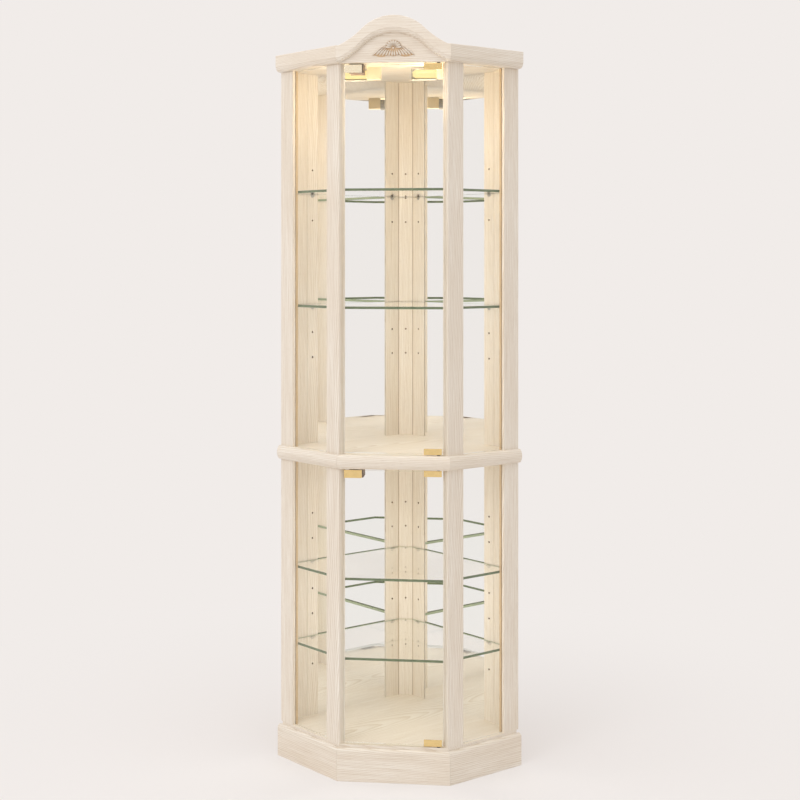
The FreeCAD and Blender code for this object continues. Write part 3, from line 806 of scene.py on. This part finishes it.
def crestCarving():
    low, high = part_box("crest_carving")
    middle = Vector((0.0, 0.0, high.z - carving["petal"][0]))
    shape = bmesh.new()
    carveFan(shape, middle)
    for side in (-1.0, 1.0):
        carveWing(shape, middle, side)
    for vertex in shape.verts:
        vertex.co.x = min(max(vertex.co.x, low.x), high.x)
        vertex.co.z = min(max(vertex.co.z, low.z), high.z)
    bmesh.ops.recalc_face_normals(shape, faces=shape.faces)
    piece = meshPiece("crestCarving", shape)
    piece.data.polygons.foreach_set("use_smooth", [True] * len(piece.data.polygons))
    hollows = (carving["panel"] - carving["crown"], carving["panel"] - carving["hollow"])
    dress(piece, limedOak("limedOakOutside_crestCarving", oakOutside, acrossFront,
                          (low + high) / 2.0, carving["log"], hollows))
    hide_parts("crest_carving")
    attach(piece, "carcass")


crestCarving()
print("crest carved")


# glass: clean low-sheen panes, thick shelves with green edges
glass = {
    "pane": (0.998, 0.999, 0.998, 1.0),
    "shelf": (0.990, 0.996, 0.990, 1.0),
    "index": 1.30,
    "edgeIndex": 1.45,
    "edgeRoughness": 0.22,
    "edgeNoise": (60.0, 60.0, 900.0),
    "edgeStreak": linear(168, 178, 140),
    "streakShare": 0.35,
    "shelfEdge": linear(82, 98, 68),
    # back edges painted lighter than the front ones: a painted highlight where they meet the
    # mirrors
    "shelfBackEdgeHighlight": linear(150, 160, 132),
    "shelfBackTurn": 0.3,                # cosine to the rear from which an edge is a back edge
    "shelfCornerEdge": linear(208, 200, 168),
    "shelfCornerTurn": 0.9,
    # the door's edges are painted near white: a painted highlight on the polished edge
    "doorEdgeHighlight": linear(222, 220, 204),
    "paneEdge": linear(190, 160, 114),
    "shelves": ("shelf_1", "shelf_2", "shelf_3", "shelf_4"),
}


def clearGlass(name, colour):
    # shadow, diffuse and mirrored rays pass straight through
    material = bpy.data.materials.new(name)
    pane = Tree(material)
    body = pane.add("ShaderNodeBsdfPrincipled", {
        "Base Color": colour, "Roughness": 0.0, "IOR": glass["index"],
        "Transmission Weight": 1.0,
    })
    through = pane.add("ShaderNodeBsdfTransparent", {"Color": colour})
    path = pane.add("ShaderNodeLightPath")
    either = pane.math("MAXIMUM", path.outputs["Is Shadow Ray"], path.outputs["Is Diffuse Ray"])
    mirrored = pane.math("SUBTRACT", path.outputs["Is Glossy Ray"],
                         path.outputs["Is Transmission Ray"])
    either = pane.math("MAXIMUM", either, mirrored)
    pane.finish(pane.mix(either, body.outputs[0], through.outputs[0]))
    return material


def groundEdge(name):
    material = bpy.data.materials.new(name)
    edge = Tree(material)
    streak = edge.noise(edge.place(), glass["edgeNoise"])
    edge.finishPrincipled({
        "Base Color": edge.blend(edge.swing(streak, 0.0, glass["streakShare"]), glass[name],
                                 glass["edgeStreak"]),
        "Roughness": glass["edgeRoughness"], "IOR": glass["edgeIndex"],
    })
    return material


def groundPane(piece, material, edge, selector, width):
    dress(piece, material)
    piece.data.materials.append(edge)
    addWeld(piece)
    addGroup(piece, flatShading)
    addBevel(piece, width, 1)
    addGroup(piece, flatShading)
    addGroup(piece, selector)


paneGlass = clearGlass("clearPane", glass["pane"])
paneEdge = groundEdge("paneEdge")
doorEdgeHighlight = groundEdge("doorEdgeHighlight")
panes = {
    "door_glass_%s": (doorEdgeHighlight, edgeSelector("doorEdges", towardsCorner, doorEdgeHighlight)),
    "side_glass_%s_left": (paneEdge, edgeSelector("leftPaneEdges", alongRight, paneEdge)),
    "side_glass_%s_right": (paneEdge, edgeSelector("rightPaneEdges", alongLeft, paneEdge)),
}
for storey in ("upper", "lower"):
    for name, (edge, selector) in panes.items():
        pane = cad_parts[name % storey]
        groundPane(pane, paneGlass, edge, selector, edges["paneWidth"])
        pane.visible_glossy = False

shelfGlass = clearGlass("shelfPlate", glass["shelf"])
shelfEdge = groundEdge("shelfEdge")
shelfBackEdgeHighlight = groundEdge("shelfBackEdgeHighlight")
shelfCornerEdge = groundEdge("shelfCornerEdge")
shelfSelector = edgeSelector("shelfEdges", upright, shelfEdge)
backSelector = edgeSelector("shelfBackEdges", towardsCorner, shelfBackEdgeHighlight,
                            glass["shelfBackTurn"])
cornerSelector = edgeSelector("shelfCornerEdges", towardsCorner, shelfCornerEdge,
                              glass["shelfCornerTurn"])
for name in glass["shelves"]:
    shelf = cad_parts[name]
    groundPane(shelf, shelfGlass, shelfEdge, shelfSelector, edges["shelfWidth"])
    for edge, selector in ((shelfBackEdgeHighlight, backSelector), (shelfCornerEdge, cornerSelector)):
        shelf.data.materials.append(edge)
        addGroup(shelf, selector)
print("glass dressed")


# mirrors
mirrorLook = {
    "silver": (0.982, 0.985, 0.982, 1.0),
    "roughness": 0.012,
    "haze": (3.0, 3.0, 3.0),             # noise scale of the roughness
}
silvered = bpy.data.materials.new("silveredGlass")
silver = Tree(silvered)
haze = silver.noise(silver.place(), mirrorLook["haze"])
silver.finishPrincipled({
    "Base Color": mirrorLook["silver"], "Metallic": 1.0,
    "Roughness": silver.swing(haze, 0.0, mirrorLook["roughness"]),
})
for storey in ("upper", "lower"):
    for side in ("left", "right"):
        dress(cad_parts["mirror_" + storey + "_" + side], silvered)
print("mirrors dressed")


# metal and plastic fittings
metals = {                               # colour, roughness, and how far brushing swings it
    "polishedBrass": (linear(243, 214, 152), 0.20, 0.05),
    # a paler copy of the brass for the upper strike plate: a painted highlight where the lamps
    # light it
    "paintedHighlightBrass": (linear(252, 240, 212), 0.24, 0.05),
    "pegSteel": (linear(196, 192, 182), 0.34, 0.06),
}
metalFinish = {
    "lines": (60.0, 1200.0, 1600.0),     # brushing
    "stains": ((90.0, 90.0, 90.0), 3.0),
    "stainSpan": (0.35, 0.7, 0.0, 0.22),                      # noise span, share that it gives
    "stainRough": (0.4, 0.7, 0.0, 0.06),                      # noise span, added roughness
    "stainTint": (0.72, 0.66, 0.55),
    "bump": (0.08, 0.0002),
}
plastics = {                             # colour and roughness
    "lampReflector": (linear(150, 146, 138), 0.36),
    "blackPlastic": (linear(34, 31, 28), 0.42),
    "brownPlastic": (linear(92, 66, 44), 0.45),
    "holderPlastic": (linear(226, 208, 172), 0.40),
}
plasticFinish = {
    "speck": (1400.0, 1400.0, 1400.0),
    "cloud": (60.0, 60.0, 60.0),
    "cloudShare": 0.12,
    "cloudTone": (0.8, 0.8, 0.78, 1.0),
    "gloss": (-0.05, 0.08),
    "bump": (0.15, 0.0002),
}
fittings = {
    "shelf_pegs": "pegSteel", "hinge_bushes": "blackPlastic",
    "lamp_holder_left": "holderPlastic", "lamp_holder_right": "holderPlastic",
    "lamp_reflector_left": "lampReflector", "lamp_reflector_right": "lampReflector",
    "hinge_clips_upper": "polishedBrass", "hinge_clips_lower": "polishedBrass",
    # the upper strike plate takes the paler brass, a painted highlight
    "strike_plate_upper": "paintedHighlightBrass", "strike_plate_lower": "polishedBrass",
    "catch_body_upper": "brownPlastic", "catch_body_lower": "brownPlastic",
    "catch_plunger_upper": "blackPlastic", "catch_plunger_lower": "blackPlastic",
}


def metal(name, colour, roughness, brushed):
    material = bpy.data.materials.new(name)
    part = Tree(material)
    place = part.place()
    lines = part.noise(place, metalFinish["lines"])
    stains = part.noise(place, *metalFinish["stains"])
    stained = tuple(one * tint for one, tint in zip(colour, metalFinish["stainTint"])) + (1.0,)
    rough = part.math("ADD", part.swing(lines, roughness - brushed, roughness + brushed),
                      part.span(stains, *metalFinish["stainRough"]))
    part.finishPrincipled({
        "Base Color": part.blend(part.span(stains, *metalFinish["stainSpan"]), colour, stained),
        "Metallic": 1.0, "Roughness": rough, "Normal": part.bump(lines, *metalFinish["bump"]),
    })
    return material


def plastic(name, colour, roughness):
    material = bpy.data.materials.new(name)
    part = Tree(material)
    place = part.place()
    speck = part.noise(place, plasticFinish["speck"])
    cloud = part.noise(place, plasticFinish["cloud"])
    smoother, rougher = plasticFinish["gloss"]
    part.finishPrincipled({
        "Base Color": part.blend(part.swing(cloud, 0.0, plasticFinish["cloudShare"]), colour,
                                 plasticFinish["cloudTone"]),
        "Roughness": part.swing(speck, roughness + smoother, roughness + rougher),
        "Normal": part.bump(speck, *plasticFinish["bump"]),
    })
    return material


finishes = {name: metal(name, *look) for name, look in metals.items()}
finishes.update({name: plastic(name, *look) for name, look in plastics.items()})
for name, finish in fittings.items():
    dress(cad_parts[name], finishes[finish])
    softenEdges(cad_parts[name], edges["fittingWidth"], 1 if name == "shelf_pegs" else 2)
    if not name.startswith("lamp_"):
        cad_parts[name].visible_glossy = False
print("fittings dressed")


# round steel collars, one on each shelf peg, flat against the wood
collar = {
    "radius": 0.0060,
    "crown": 0.0052,
    "thickness": 0.0015,
    "sides": 28,
}


def pegCollars():
    shape = bmesh.new()
    for mouth, inward in mouths:
        spot = mouth - 0.5 * collar["thickness"] * inward
        turn = (-inward).to_track_quat("Z", "Y").to_matrix().to_4x4()
        bmesh.ops.create_cone(shape, cap_ends=True, segments=collar["sides"],
                              radius1=collar["radius"], radius2=collar["crown"],
                              depth=collar["thickness"], matrix=Matrix.Translation(spot) @ turn)
    piece = meshPiece("pegCollars", shape)
    dress(piece, finishes["pegSteel"])
    softenEdges(piece, edges["collarWidth"], 1)
    piece.visible_glossy = False
    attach(piece, "carcass")


pegCollars()
print("peg collars fitted")


# lamps: glowing capsules, and the light that they throw
lampLook = {
    "glass": (0.02, 0.016, 0.008, 1.0),
    "glassRoughness": 0.2,
    "glow": (0.98, 0.78, 0.34, 1.0),
    "glowStrength": 1.05,
    "spill": (1.0, 0.84, 0.60),
    "spillPower": 0.46,
    "spillSize": 0.02,
    "spillPlace": (-0.03, -0.05),        # from the bulb: forward, and down from its underside
    "halo": (1.0, 0.90, 0.72),           # bright patch on the ceiling in front of the bulb
    "haloPower": 0.07,
    "haloPlace": (-0.030, 0.002),        # from the bulb: forward, and up from its top
    "haloSize": 0.006,
    "hot": (1.0, 0.95, 0.80),            # bare filament light on the reflector
    "hotPower": 0.012,
    "hotSize": 0.001,
    "hotOut": 0.013,                     # from the axis of the bulb, away from the opening
    "hotPlaces": (0.2, 0.5, 0.8),        # shares of the bulb's length
    "tilt": math.radians(60.0),
}


def lightBulb(side):
    low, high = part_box("lamp_bulb_" + side)
    middle = (low + high) / 2.0
    forward, down = lampLook["spillPlace"]
    hiddenLight("spill_" + side, (middle.x, middle.y + forward, low.z + down),
                lampLook["spillPower"], lampLook["spill"], lampLook["spillSize"])
    forward, up = lampLook["haloPlace"]
    hiddenLight("halo_" + side, (middle.x, middle.y + forward, high.z + up),
                lampLook["haloPower"], lampLook["halo"], lampLook["haloSize"])
    away = Vector((0.0, math.cos(lampLook["tilt"]), math.sin(lampLook["tilt"])))
    for share in lampLook["hotPlaces"]:
        spot = middle + lampLook["hotOut"] * away
        spot.x = low.x + share * (high.x - low.x)
        hiddenLight("hot_%s_%d" % (side, round(10 * share)), spot, lampLook["hotPower"],
                    lampLook["hot"], lampLook["hotSize"])


litBulb = bpy.data.materials.new("litBulb")
Tree(litBulb).finishPrincipled({
    "Base Color": lampLook["glass"], "Roughness": lampLook["glassRoughness"],
    "Emission Color": lampLook["glow"], "Emission Strength": lampLook["glowStrength"],
})
for side in ("left", "right"):
    dress(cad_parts["lamp_bulb_" + side], litBulb)
    lightBulb(side)
print("lamps lit")
